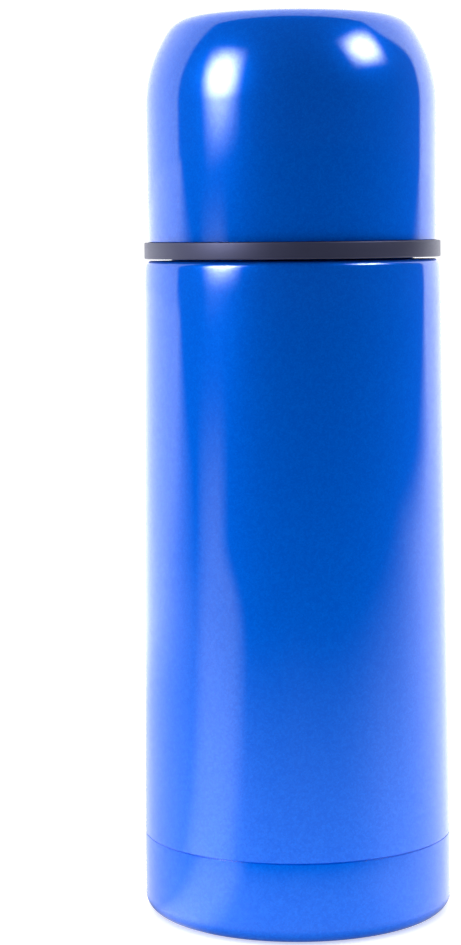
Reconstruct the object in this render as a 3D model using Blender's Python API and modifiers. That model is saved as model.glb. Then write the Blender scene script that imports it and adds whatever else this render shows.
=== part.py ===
"""Vacuum flask with a domed screw-on cup and a push-button pouring stopper.

Metres, +Z up. The origin is the middle of the face the flask stands on, and +Z is its axis.
The parts are in the collection "vacuum_flask"; the thread ridges and cutters are in "cutters".
"""

import math

import bmesh
import bpy
from mathutils import Matrix, Vector

MM = 0.001
GAP = 0.3 * MM  # running clearance between pieces that touch on the real flask
SHEET = 0.5 * MM  # thickness of the pressed steel
SEGMENTS = 32  # sides of every large turned piece
SMALL_SEGMENTS = 20  # sides of the small turned pieces
ARC_STEPS = 3

# Painted body
BODY_RADIUS_SEAM = 34.25 * MM
BODY_RADIUS_TOP = 33.07 * MM
BODY_SHOULDER_Z = 144.5 * MM
BODY_SHOULDER_ROUND = 1.5 * MM
SEAM_Z = 17.5 * MM
NECK_RADIUS = 27.0 * MM

# Base cup
BASE_RADIUS = 34.13 * MM
BASE_CORNER = 3.5 * MM
FOOT_INNER_RADIUS = 27.8 * MM
FOOT_RECESS = 1.8 * MM
BASE_LIP_HEIGHT = 1.4 * MM

# Vacuum parts
PLATE_Z = 19.3 * MM
VESSEL_BOTTOM_Z = 22.6 * MM
VESSEL_RADIUS = 31.0 * MM
VESSEL_CORNER = 6.0 * MM
VESSEL_SHOULDER_Z = 134.0 * MM
VESSEL_SHOULDER_HEIGHT = 8.1 * MM
LAND_RADIUS = 23.2 * MM  # smooth land that the stopper's ring seals on
LAND_TOP_Z = 146.0 * MM
MOUTH_RADIUS = 24.6 * MM
MOUTH_Z = 160.1 * MM
FOIL_RADIUS = 31.35 * MM
FOIL_THICKNESS = 0.15 * MM

# Cup and its ring
RING_BOTTOM_Z = 144.86 * MM
RING_TOP_Z = 148.49 * MM
RING_RADIUS = 33.02 * MM
SLEEVE_RADIUS = 31.2 * MM
SLEEVE_TOP_Z = 158.5 * MM
CUP_RADIUS_RIM = 32.17 * MM
CUP_RADIUS_TOP = 32.45 * MM
CUP_TOP_Z = 199.4 * MM
CROWN_RADIUS = 237.0 * MM
CORNER_RADIUS = 7.2 * MM
CHEEK_RADIUS = 30.0 * MM
CHEEK_ANGLE = math.radians(56.5)  # slope where the corner arc meets the cheek arc
LINER_OFFSET = 1.15 * MM

# Cup thread, on the neck collar and in the ring
COLLAR_RADIUS = 28.6 * MM
COLLAR_TOP_Z = 158.9 * MM
CUP_THREAD_LEAD = 8.0 * MM
CUP_THREAD_STARTS = 2
CUP_THREAD_Z = 148.0 * MM
COLLAR_THREAD_CREST = 29.4 * MM
RING_BORE_RADIUS = 29.9 * MM
RING_THREAD_CREST = 28.95 * MM

# Stopper
STOPPER_RADIUS = 23.3 * MM
STOPPER_LOW_RADIUS = 21.3 * MM
STOPPER_BOTTOM_Z = 139.5 * MM
STOPPER_BORE_RADIUS = 19.8 * MM
HEAD_RADIUS = 26.3 * MM
HEAD_TOP_Z = 164.3 * MM
COVER_TOP_Z = 166.5 * MM
COVER_RADIUS = 25.2 * MM
STOPPER_THREAD_LEAD = 5.0 * MM
STOPPER_THREAD_Z = 150.5 * MM
STOPPER_THREAD_CREST = 24.2 * MM
MOUTH_THREAD_CREST = 23.75 * MM
GRIP_NOTCHES = 12
THREAD_OFFSET = 1.4 * MM  # distance along the axis between mating ridges

# Thread section
RIDGE_FOOT_HALF = 0.75 * MM
RIDGE_CREST_HALF = 0.35 * MM
RIDGE_ROOTED = 0.3 * MM  # how far a ridge reaches into the wall that carries it
RIDGE_STEPS = 24  # sections in a turn
RIDGE_PHASE = math.radians(4.0)  # keeps the sections off the corners of the turned wall

# Valve
VALVE_HOLE_RADIUS = 8.0 * MM
FLOOR_THICKNESS = 2.0 * MM
GUIDE_Z = 147.0 * MM
GUIDE_THICKNESS = 2.3 * MM
GUIDE_TUBE_TOP_Z = 153.0 * MM
STEM_RADIUS = 2.0 * MM
STEM_BORE_RADIUS = 2.3 * MM
BUTTON_RADIUS = 10.8 * MM
BUTTON_TOP_Z = 168.0 * MM
BUTTON_SKIRT_Z = 155.5 * MM
BUTTON_WALL = 1.6 * MM
BUTTON_BOSS_RADIUS = 4.2 * MM
BUTTON_BOSS_Z = 157.2 * MM
SPRING_RADIUS = 6.7 * MM
SPRING_WIRE_RADIUS = 0.45 * MM
SPRING_BOTTOM_Z = 149.6 * MM
SPRING_TOP_Z = 165.9 * MM
SPRING_TURNS = 5.5


# ---------------------------------------------------------------- scene and materials


def clear_scene():
    for obj in list(bpy.data.objects):
        bpy.data.objects.remove(obj)


def new_collection(name):
    collection = bpy.data.collections.new(name)
    bpy.context.scene.collection.children.link(collection)
    return collection


def material(name, color, roughness, metallic):
    """A Principled material of one colour."""
    found = bpy.data.materials.get(name)
    if found:
        return found
    made = bpy.data.materials.new(name)
    made.use_nodes = True
    shader = made.node_tree.nodes["Principled BSDF"]
    shader.inputs["Base Color"].default_value = (*color, 1.0)
    shader.inputs["Roughness"].default_value = roughness
    shader.inputs["Metallic"].default_value = metallic
    made.diffuse_color = (*color, 1.0)
    return made


def blue_paint():
    return material("blue_paint", (0.005, 0.11, 0.55), 0.25, 0.4)


def steel():
    return material("brushed_steel", (0.62, 0.61, 0.59), 0.3, 1.0)


def grey_plastic():
    return material("grey_plastic", (0.045, 0.045, 0.06), 0.5, 0.0)


def black_plastic():
    return material("black_plastic", (0.02, 0.02, 0.022), 0.45, 0.0)


def silicone():
    return material("silicone", (0.7, 0.71, 0.7), 0.6, 0.0)


def copper():
    return material("copper", (0.72, 0.33, 0.19), 0.3, 1.0)


# ---------------------------------------------------------------- shape helpers


def arc(center, radius, start, end, steps=ARC_STEPS):
    """Points (r, z) on a circle in the r-z plane; angles in degrees, 0 along +r and 90 along +Z.

    radius is one number, or a pair for an ellipse.
    """
    across, along = radius if isinstance(radius, tuple) else (radius, radius)
    points = []
    for step in range(steps + 1):
        angle = math.radians(start + (end - start) * step / steps)
        points.append((center[0] + across * math.cos(angle), center[1] + along * math.sin(angle)))
    return points


def add_object(name, mesh, collection, surface):
    obj = bpy.data.objects.new(name, mesh)
    collection.objects.link(obj)
    if surface:
        mesh.materials.clear()
        mesh.materials.append(surface)
    return obj


def smooth(mesh):
    mesh.shade_smooth()
    mesh.set_sharp_from_angle(angle=math.radians(32))


def evaluated_copy(obj):
    """The object's mesh with its modifiers applied."""
    graph = bpy.context.evaluated_depsgraph_get()
    return bpy.data.meshes.new_from_object(obj.evaluated_get(graph))


def turned(name, profile, surface, collection, segments=SEGMENTS):
    """Spins a profile of (r, z) points about +Z.

    The profile goes down the outer side and up the inner one. It is a closed loop, unless it
    starts and ends on the axis.
    """
    on_axis = profile[0][0] == 0.0 and profile[-1][0] == 0.0
    count = len(profile)
    edges = [(i, (i + 1) % count) for i in range(count - 1 if on_axis else count)]
    outline = bpy.data.meshes.new(name)
    outline.from_pydata([(r, 0.0, z) for r, z in profile], edges, [])
    obj = add_object(name, outline, collection, None)
    screw = obj.modifiers.new("turn", "SCREW")
    screw.axis = "Z"
    screw.angle = math.tau
    screw.steps = segments
    screw.render_steps = segments
    screw.use_merge_vertices = True
    screw.merge_threshold = 0.00001
    mesh = evaluated_copy(obj)
    obj.modifiers.clear()
    obj.data = mesh
    bpy.data.meshes.remove(outline)
    mesh.name = name
    mesh.materials.append(surface)
    smooth(mesh)
    return obj


def as_cutter(obj):
    obj.hide_render = True
    obj.display_type = "WIRE"
    return obj


def boolean(obj, other, operation):
    modifier = obj.modifiers.new(other.name, "BOOLEAN")
    modifier.operation = operation
    modifier.solver = "EXACT"
    modifier.object = other


def thread_ridge(name, root, crest, start_z, lead, turns, starts, cutters):
    """Right-handed helical ridges with a trapezoid section that fades out at both ends.

    root is the wall's radius and crest the ridge's; a crest inside the root makes an inner thread.
    """
    outward = 1.0 if crest > root else -1.0
    buried = root - outward * RIDGE_ROOTED
    count = round(turns * RIDGE_STEPS)
    bm = bmesh.new()
    for start in range(starts):
        phase = RIDGE_PHASE + math.tau * start / starts
        sections = []
        for step in range(count + 1):
            turn = step / RIDGE_STEPS
            height = min(1.0, 0.3 + 0.35 * min(step, count - step))
            tip = root + (crest - root) * height
            z = start_z + lead * turn
            radial = Matrix.Rotation(phase + math.tau * turn, 4, "Z")
            corners = (
                (buried, z - RIDGE_FOOT_HALF),
                (tip, z - RIDGE_CREST_HALF),
                (tip, z + RIDGE_CREST_HALF),
                (buried, z + RIDGE_FOOT_HALF),
            )
            sections.append([bm.verts.new(radial @ Vector((r, 0.0, h))) for r, h in corners])
        for one, two in zip(sections, sections[1:]):
            for i in range(4):
                bm.faces.new((one[i], one[(i + 1) % 4], two[(i + 1) % 4], two[i]))
        bm.faces.new(sections[0])
        bm.faces.new(sections[-1])
    bmesh.ops.recalc_face_normals(bm, faces=bm.faces)
    mesh = bpy.data.meshes.new(name)
    bm.to_mesh(mesh)
    bm.free()
    return as_cutter(add_object(name, mesh, cutters, None))


def ring_of_cylinders(name, count, radius, at_radius, low, high, cutters, sides=12, first=0.0):
    """Upright cylinders, evenly round the axis, as one cutter."""
    bm = bmesh.new()
    for index in range(count):
        angle = first + math.tau * index / count
        place = Vector((at_radius * math.cos(angle), at_radius * math.sin(angle), (low + high) / 2))
        bmesh.ops.create_cone(
            bm,
            cap_ends=True,
            segments=sides,
            radius1=radius,
            radius2=radius,
            depth=high - low,
            matrix=Matrix.Translation(place),
        )
    mesh = bpy.data.meshes.new(name)
    bm.to_mesh(mesh)
    bm.free()
    return as_cutter(add_object(name, mesh, cutters, None))


# ---------------------------------------------------------------- flask body


def body_radius(z):
    """Outer radius of the tapered painted body at height z."""
    share = (z - SEAM_Z) / (BODY_SHOULDER_Z - BODY_SHOULDER_ROUND - SEAM_Z)
    return BODY_RADIUS_SEAM + share * (BODY_RADIUS_TOP - BODY_RADIUS_SEAM)


def outer_shell(parts):
    """Painted steel wall, rounded in at the shoulder and drawn up into the neck."""
    center = (BODY_RADIUS_TOP - BODY_SHOULDER_ROUND, BODY_SHOULDER_Z - BODY_SHOULDER_ROUND)
    neck_top = MOUTH_Z - SHEET - GAP
    inner_neck = NECK_RADIUS - SHEET
    profile = [(NECK_RADIUS, neck_top), (NECK_RADIUS, BODY_SHOULDER_Z)]
    profile += arc(center, BODY_SHOULDER_ROUND, 90, 0)
    profile += [(BODY_RADIUS_SEAM, SEAM_Z), (BODY_RADIUS_SEAM - SHEET, SEAM_Z)]
    profile += arc(center, BODY_SHOULDER_ROUND - SHEET, 0, 90, 2)
    profile += [(inner_neck, BODY_SHOULDER_Z - SHEET), (inner_neck, neck_top)]
    return turned("outer_shell", profile, blue_paint(), parts)


def base_cup(parts):
    """Pressed steel cup under the seam: its lip goes up inside the shell and its rim is the foot."""
    seam = SEAM_Z - GAP
    inner = BASE_RADIUS - SHEET
    lip_outer = BODY_RADIUS_SEAM - SHEET - GAP
    lip_inner = lip_outer - SHEET
    center = (BASE_RADIUS - BASE_CORNER, BASE_CORNER)
    recess = FOOT_INNER_RADIUS - FOOT_RECESS
    profile = [(0.0, FOOT_RECESS + SHEET), (recess, FOOT_RECESS + SHEET)]
    profile += [(FOOT_INNER_RADIUS + SHEET, SHEET)]
    profile += arc(center, BASE_CORNER - SHEET, 270, 360)
    profile += [(inner, seam - 2 * SHEET), (lip_inner, seam - SHEET), (lip_inner, seam + BASE_LIP_HEIGHT)]
    profile += [(lip_outer, seam + BASE_LIP_HEIGHT), (lip_outer, seam), (BASE_RADIUS, seam)]
    profile += arc(center, BASE_CORNER, 0, -90)
    profile += [(FOOT_INNER_RADIUS, 0.0), (recess, FOOT_RECESS), (0.0, FOOT_RECESS)]
    return turned("base_cup", profile, blue_paint(), parts)


def vacuum_end_plate(parts):
    """Dished plate welded inside the shell; its centre hole is where the air is drawn out."""
    outer = body_radius(PLATE_Z) - SHEET - GAP - 0.1 * MM
    top = PLATE_Z + SHEET
    flange_top = PLATE_Z + 5.0 * MM
    hole = 1.7 * MM
    profile = [(hole, top), (outer - 2 * SHEET, top), (outer - SHEET, top + SHEET)]
    profile += [(outer - SHEET, flange_top), (outer, flange_top), (outer, PLATE_Z + SHEET)]
    profile += [(outer - SHEET, PLATE_Z), (hole, PLATE_Z)]
    return turned("vacuum_end_plate", profile, steel(), parts)


def pinch_off_tube(parts):
    """Copper tube under the end plate, squeezed flat after the air was drawn out."""
    top = PLATE_Z - GAP
    bore = 1.6 * MM
    wall = 2.5 * MM
    tip = 8.0 * MM
    pinch_z = 13.0 * MM
    profile = [(0.0, pinch_z), (bore, pinch_z + MM), (bore, top), (4.0 * MM, top), (4.0 * MM, top - 0.8 * MM)]
    profile += [(wall, top - 1.4 * MM), (wall, pinch_z + MM), (wall, pinch_z - 2 * MM)]
    profile += [(wall, tip + MM), (0.8 * wall, tip), (0.0, tip)]
    obj = turned("pinch_off_tube", profile, copper(), parts, SMALL_SEGMENTS)
    for vertex in obj.data.vertices:
        if vertex.co.z < pinch_z - MM:
            vertex.co.x *= 1.35
            vertex.co.y *= 0.35
    return obj


def getter(parts):
    """Small pellet on the end plate that takes up the last gas in the vacuum space."""
    low = PLATE_Z + SHEET + GAP
    high = low + 1.8 * MM
    profile = [(0.0, high), (3.6 * MM, high), (4.0 * MM, high - 0.4 * MM), (4.0 * MM, low), (0.0, low)]
    obj = turned("getter", profile, steel(), parts, SMALL_SEGMENTS)
    obj.location = (14.0 * MM, 0.0, 0.0)
    return obj


def vessel_wall(inset):
    """The drinking vessel's outline from the floor's centre to the mouth, moved in by inset."""
    radius = VESSEL_RADIUS - inset
    bend = (VESSEL_RADIUS - VESSEL_CORNER, VESSEL_BOTTOM_Z + VESSEL_CORNER)
    land = LAND_RADIUS + SHEET - inset
    mouth = MOUTH_RADIUS + SHEET - inset
    shoulder = (radius - land, VESSEL_SHOULDER_HEIGHT - inset)
    points = [(0.0, VESSEL_BOTTOM_Z + inset)]
    points += arc(bend, VESSEL_CORNER - inset, 270, 360)
    points += arc((land, VESSEL_SHOULDER_Z), shoulder, 0, 90)
    points += [(land, LAND_TOP_Z), (mouth, LAND_TOP_Z + 1.2 * MM)]
    return points


def inner_vessel(parts, cutters):
    """Steel vessel with a sealing land, a mouth thread and a lip rolled over the neck."""
    lip_low = MOUTH_Z - SHEET
    outer_mouth = MOUTH_RADIUS + SHEET
    profile = vessel_wall(SHEET)
    profile += [(MOUTH_RADIUS, lip_low), (MOUTH_RADIUS + 0.4 * MM, MOUTH_Z)]
    profile += [(NECK_RADIUS - 0.3 * MM, MOUTH_Z), (NECK_RADIUS, MOUTH_Z - 0.2 * MM)]
    profile += [(NECK_RADIUS, lip_low), (outer_mouth, lip_low)]
    profile += list(reversed(vessel_wall(0.0)))
    obj = turned("inner_vessel", profile, steel(), parts)
    ridge_z = STOPPER_THREAD_Z + THREAD_OFFSET
    ridge = thread_ridge(
        "mouth_thread", MOUTH_RADIUS, MOUTH_THREAD_CREST, ridge_z, STOPPER_THREAD_LEAD, 1.0, 1, cutters
    )
    boolean(obj, ridge, "UNION")
    return obj


def heat_shield_foil(parts):
    """Foil sleeve round the vessel, in the vacuum space."""
    low = VESSEL_BOTTOM_Z + 10.0 * MM
    high = VESSEL_SHOULDER_Z - 4.0 * MM
    outer = FOIL_RADIUS + FOIL_THICKNESS
    profile = [(outer, high), (outer, low), (FOIL_RADIUS, low), (FOIL_RADIUS, high)]
    return turned("heat_shield_foil", profile, copper(), parts)


def neck_collar(parts, cutters):
    """Plastic collar on the steel neck, with the outer thread that the cup screws onto."""
    bore = NECK_RADIUS + GAP
    low = BODY_SHOULDER_Z + GAP
    ease = 0.4 * MM
    profile = [(bore, COLLAR_TOP_Z), (COLLAR_RADIUS - ease, COLLAR_TOP_Z)]
    profile += [(COLLAR_RADIUS, COLLAR_TOP_Z - ease), (COLLAR_RADIUS, low), (bore, low)]
    obj = turned("neck_collar", profile, black_plastic(), parts)
    ridge = thread_ridge(
        "collar_thread",
        COLLAR_RADIUS,
        COLLAR_THREAD_CREST,
        CUP_THREAD_Z,
        CUP_THREAD_LEAD,
        0.75,
        CUP_THREAD_STARTS,
        cutters,
    )
    boolean(obj, ridge, "UNION")
    return obj


# ---------------------------------------------------------------- cup


def cup_wall(inset, rim_z):
    """Half-outline of the domed cup moved in by inset, from the middle of the crown to the rim."""
    run = CUP_RADIUS_TOP - CHEEK_RADIUS + (CHEEK_RADIUS - CORNER_RADIUS) * math.sin(CHEEK_ANGLE)
    crown_angle = math.asin(run / (CROWN_RADIUS - CORNER_RADIUS))
    crown_center = Vector((0.0, CUP_TOP_Z - CROWN_RADIUS))
    crown_end = Vector((math.sin(crown_angle), math.cos(crown_angle)))
    cheek_start = Vector((math.sin(CHEEK_ANGLE), math.cos(CHEEK_ANGLE)))
    corner_center = crown_center + (CROWN_RADIUS - CORNER_RADIUS) * crown_end
    cheek_center = corner_center - (CHEEK_RADIUS - CORNER_RADIUS) * cheek_start
    crown_slope = 90 - math.degrees(crown_angle)
    cheek_slope = 90 - math.degrees(CHEEK_ANGLE)
    points = arc(crown_center, CROWN_RADIUS - inset, 90, crown_slope, 2)
    points += arc(corner_center, CORNER_RADIUS - inset, crown_slope, cheek_slope)[1:]
    points += arc(cheek_center, CHEEK_RADIUS - inset, cheek_slope, 0)[1:]
    points.append((CUP_RADIUS_RIM - inset, rim_z))
    points[0] = (0.0, points[0][1])
    return points


def cup_shell(parts):
    """Painted steel dome."""
    rim = RING_TOP_Z + GAP
    profile = cup_wall(0.0, rim) + list(reversed(cup_wall(SHEET, rim)))
    return turned("cup_shell", profile, blue_paint(), parts)


def cup_liner(parts):
    """Steel lining that a drink touches when the cup is used."""
    rim = SLEEVE_TOP_Z + GAP
    profile = cup_wall(LINER_OFFSET, rim) + list(reversed(cup_wall(LINER_OFFSET + SHEET, rim)))
    return turned("cup_liner", profile, steel(), parts)


def cup_rim_ring(parts, cutters):
    """Grey ring at the cup's rim: its sleeve goes up inside the shell and carries the thread."""
    ease = 0.3 * MM
    seat_z = SLEEVE_TOP_Z - 2.1 * MM
    seat_radius = SLEEVE_RADIUS - 0.45 * MM
    profile = [(SLEEVE_RADIUS, SLEEVE_TOP_Z), (SLEEVE_RADIUS, RING_TOP_Z)]
    profile += [(RING_RADIUS - ease, RING_TOP_Z), (RING_RADIUS, RING_TOP_Z - ease)]
    profile += [(RING_RADIUS, RING_BOTTOM_Z + ease), (RING_RADIUS - ease, RING_BOTTOM_Z)]
    profile += [(RING_BORE_RADIUS, RING_BOTTOM_Z), (RING_BORE_RADIUS, seat_z)]
    profile += [(seat_radius, seat_z), (seat_radius, SLEEVE_TOP_Z)]
    obj = turned("cup_rim_ring", profile, grey_plastic(), parts)
    ridge_z = CUP_THREAD_Z - THREAD_OFFSET
    ridge = thread_ridge(
        "ring_thread",
        RING_BORE_RADIUS,
        RING_THREAD_CREST,
        ridge_z,
        CUP_THREAD_LEAD,
        0.5,
        CUP_THREAD_STARTS,
        cutters,
    )
    boolean(obj, ridge, "UNION")
    return obj


def cup_gasket(parts):
    """Silicone ring in the top of the ring's sleeve."""
    low = SLEEVE_TOP_Z - 1.8 * MM
    high = SLEEVE_TOP_Z - 0.2 * MM
    inner = 29.0 * MM
    outer = SLEEVE_RADIUS - 0.75 * MM
    ease = 0.4 * MM
    profile = [(inner + ease, high), (outer - ease, high), (outer, high - ease), (outer, low + ease)]
    profile += [(outer - ease, low), (inner + ease, low), (inner, low + ease), (inner, high - ease)]
    return turned("cup_gasket", profile, silicone(), parts)


# ---------------------------------------------------------------- stopper


def stopper_housing(parts, cutters):
    """Hollow threaded plug with a valve seat in its floor and a notched head to grip."""
    floor = STOPPER_BOTTOM_Z + FLOOR_THICKNESS
    head_low = MOUTH_Z + GAP
    step_z = LAND_TOP_Z + 1.6 * MM
    ease = 0.6 * MM
    groove = STOPPER_LOW_RADIUS - 0.9 * MM
    ledge = STOPPER_BORE_RADIUS - 1.5 * MM
    ledge_z = GUIDE_Z - GAP
    profile = [(STOPPER_BORE_RADIUS, HEAD_TOP_Z), (HEAD_RADIUS - ease, HEAD_TOP_Z)]
    profile += [(HEAD_RADIUS, HEAD_TOP_Z - ease), (HEAD_RADIUS, head_low), (STOPPER_RADIUS, head_low)]
    profile += [(STOPPER_RADIUS, step_z), (STOPPER_LOW_RADIUS, step_z - MM)]
    profile += [(STOPPER_LOW_RADIUS, 144.6 * MM), (groove, 144.6 * MM), (groove, 142.0 * MM)]
    profile += [(STOPPER_LOW_RADIUS, 142.0 * MM), (STOPPER_LOW_RADIUS, STOPPER_BOTTOM_Z + ease)]
    profile += [(STOPPER_LOW_RADIUS - ease, STOPPER_BOTTOM_Z), (VALVE_HOLE_RADIUS, STOPPER_BOTTOM_Z)]
    profile += [(VALVE_HOLE_RADIUS, floor), (ledge, floor), (ledge, ledge_z)]
    profile += [(STOPPER_BORE_RADIUS, ledge_z)]
    obj = turned("stopper_housing", profile, black_plastic(), parts)
    ridge = thread_ridge(
        "stopper_thread",
        STOPPER_RADIUS,
        STOPPER_THREAD_CREST,
        STOPPER_THREAD_Z,
        STOPPER_THREAD_LEAD,
        1.0,
        1,
        cutters,
    )
    boolean(obj, ridge, "UNION")
    notches = ring_of_cylinders(
        "grip_notches",
        GRIP_NOTCHES,
        2.2 * MM,
        HEAD_RADIUS + 1.5 * MM,
        head_low - MM,
        HEAD_TOP_Z + MM,
        cutters,
    )
    boolean(obj, notches, "DIFFERENCE")
    return obj


def stopper_cover(parts, cutters):
    """Cap of the stopper: the button rises through it, and the drink leaves by its two slots."""
    low = HEAD_TOP_Z + GAP
    hole = BUTTON_RADIUS + GAP
    skirt = STOPPER_BORE_RADIUS - GAP
    skirt_inner = skirt - 1.2 * MM
    skirt_z = HEAD_TOP_Z - 3.0 * MM
    ease = 0.8 * MM
    profile = [(hole, COVER_TOP_Z), (COVER_RADIUS - ease, COVER_TOP_Z), (COVER_RADIUS, COVER_TOP_Z - ease)]
    profile += [(COVER_RADIUS, low), (skirt, low), (skirt, skirt_z), (skirt_inner, skirt_z)]
    profile += [(skirt_inner, low), (hole, low)]
    obj = turned("stopper_cover", profile, grey_plastic(), parts)
    slots = ring_of_cylinders(
        "pour_slots", 2, 1.6 * MM, 14.8 * MM, low - MM, COVER_TOP_Z + MM, cutters, sides=10
    )
    for vertex in slots.data.vertices:
        vertex.co.y *= 3.0
    boolean(obj, slots, "DIFFERENCE")
    return obj


def stopper_seal_ring(parts):
    """Silicone ring in the plug's groove, which seals on the vessel's land."""
    center = (LAND_RADIUS - GAP - 1.0 * MM, 143.3 * MM)
    inner = STOPPER_LOW_RADIUS - 0.6 * MM
    profile = arc(center, MM, 90, -90, 4) + [(inner, 142.3 * MM), (inner, 144.3 * MM)]
    return turned("stopper_seal_ring", profile, silicone(), parts)


def stem_guide(parts, cutters):
    """Disc across the plug's bore: the stem slides in its tube, and the drink passes its windows."""
    outer = STOPPER_BORE_RADIUS - GAP
    top = GUIDE_Z + GUIDE_THICKNESS
    tube = 4.8 * MM
    pocket = 4.2 * MM
    pocket_top = GUIDE_Z + 1.9 * MM
    profile = [(STEM_BORE_RADIUS, GUIDE_TUBE_TOP_Z), (tube, GUIDE_TUBE_TOP_Z), (tube, top)]
    profile += [(outer, top), (outer, GUIDE_Z), (pocket, GUIDE_Z), (pocket, pocket_top)]
    profile += [(STEM_BORE_RADIUS, pocket_top)]
    obj = turned("stem_guide", profile, black_plastic(), parts)
    windows = ring_of_cylinders(
        "guide_windows", 4, 3.0 * MM, 13.0 * MM, GUIDE_Z - MM, top + MM, cutters, sides=12, first=0.4
    )
    boolean(obj, windows, "DIFFERENCE")
    return obj


def stem_o_ring(parts):
    """O-ring in the guide's pocket that keeps the drink out of the button."""
    ring = 0.75 * MM
    center = (STEM_RADIUS + GAP + ring, GUIDE_Z + 0.95 * MM)
    profile = arc(center, ring, 90, -270, 6)[:-1]
    return turned("stem_o_ring", profile, silicone(), parts, SMALL_SEGMENTS)


def push_button(parts):
    """Round button with a boss below that the stem is screwed into."""
    top = BUTTON_TOP_Z
    under = BUTTON_TOP_Z - 1.8 * MM
    inner = BUTTON_RADIUS - BUTTON_WALL
    ease = 0.8 * MM
    socket = 164.0 * MM
    profile = [(0.0, top - 0.3 * MM), (0.7 * BUTTON_RADIUS, top - 0.2 * MM), (BUTTON_RADIUS - ease, top)]
    profile += [(BUTTON_RADIUS, top - ease), (BUTTON_RADIUS, BUTTON_SKIRT_Z), (inner, BUTTON_SKIRT_Z)]
    profile += [(inner, under), (BUTTON_BOSS_RADIUS, under), (BUTTON_BOSS_RADIUS, BUTTON_BOSS_Z)]
    profile += [(STEM_BORE_RADIUS, BUTTON_BOSS_Z), (STEM_BORE_RADIUS, socket), (0.0, socket)]
    return turned("push_button", profile, grey_plastic(), parts, 24)


def button_spring(parts):
    """Compression spring between the guide and the button, with flat end coils."""
    end_turns = 0.75
    end_pitch = 1.0 * MM
    per_turn = 14
    low = SPRING_BOTTOM_Z + SPRING_WIRE_RADIUS
    high = SPRING_TOP_Z - SPRING_WIRE_RADIUS
    count = round(SPRING_TURNS * per_turn)
    active = (high - low - 2 * end_turns * end_pitch) / (SPRING_TURNS - 2 * end_turns)
    curve = bpy.data.curves.new("button_spring", "CURVE")
    curve.dimensions = "3D"
    curve.bevel_depth = SPRING_WIRE_RADIUS
    curve.bevel_resolution = 1
    curve.use_fill_caps = True
    spline = curve.splines.new("POLY")
    spline.points.add(count)
    for index, point in enumerate(spline.points):
        turn = index / per_turn
        first = min(turn, end_turns)
        last = max(0.0, turn - (SPRING_TURNS - end_turns))
        z = low + end_pitch * (first + last) + active * (turn - first - last)
        angle = math.tau * turn
        x = SPRING_RADIUS * math.cos(angle)
        y = SPRING_RADIUS * math.sin(angle)
        point.co = (x, y, z, 1.0)
    obj = add_object("button_spring", curve, parts, None)
    curve.materials.append(steel())
    return obj


def valve_stem(parts):
    """Steel stem: its head holds the valve disc up, and its top is screwed into the button."""
    low = 133.4 * MM
    head_top = low + 1.3 * MM
    high = 163.7 * MM
    head = 3.6 * MM
    profile = [(0.0, high), (STEM_RADIUS - 0.3 * MM, high), (STEM_RADIUS, high - 0.3 * MM)]
    profile += [(STEM_RADIUS, head_top), (head, head_top), (head, low + 0.4 * MM)]
    profile += [(head - 0.6 * MM, low), (0.0, low)]
    return turned("valve_stem", profile, steel(), parts, SMALL_SEGMENTS)


def valve_disc(parts):
    """Disc on the stem that carries the valve's seal."""
    low = 135.0 * MM
    rim_top = 136.9 * MM
    hub_top = 140.4 * MM
    hub = 4.8 * MM
    rim = 9.6 * MM
    profile = [(STEM_BORE_RADIUS, hub_top), (hub, hub_top), (hub, rim_top), (rim, rim_top)]
    profile += [(rim, low + 0.5 * MM), (rim - 0.5 * MM, low), (STEM_BORE_RADIUS, low)]
    return turned("valve_disc", profile, black_plastic(), parts, SMALL_SEGMENTS)


def valve_seal(parts):
    """Silicone washer on the valve disc that closes the hole in the plug's floor."""
    low = 137.2 * MM
    high = STOPPER_BOTTOM_Z - GAP
    inner = 5.1 * MM
    outer = 10.4 * MM
    profile = [(inner, high), (outer - 0.4 * MM, high), (outer, high - 0.4 * MM)]
    profile += [(outer, low + 0.3 * MM), (outer - 0.3 * MM, low), (inner, low)]
    return turned("valve_seal", profile, silicone(), parts, SMALL_SEGMENTS)


def main():
    clear_scene()
    parts = new_collection("vacuum_flask")
    cutters = new_collection("cutters")
    outer_shell(parts)
    base_cup(parts)
    vacuum_end_plate(parts)
    pinch_off_tube(parts)
    getter(parts)
    inner_vessel(parts, cutters)
    heat_shield_foil(parts)
    neck_collar(parts, cutters)
    cup_shell(parts)
    cup_liner(parts)
    cup_rim_ring(parts, cutters)
    cup_gasket(parts)
    stopper_housing(parts, cutters)
    stopper_cover(parts, cutters)
    stopper_seal_ring(parts)
    stem_guide(parts, cutters)
    stem_o_ring(parts)
    push_button(parts)
    button_spring(parts)
    valve_stem(parts)
    valve_disc(parts)
    valve_seal(parts)


main()
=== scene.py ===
"""Looks of the vacuum flask: fine turned pieces, procedural materials, and a pale studio.

Metres, +Z up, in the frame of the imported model. Each piece is made by the function named after the
plain solid that it replaces, and rides on that solid's body. Four sealed-in solids keep their plain
shape. The constants repeat the model's own dimensions where a box can't give them.
"""

import math

import bmesh
import bpy
from mathutils import Matrix, Vector

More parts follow.
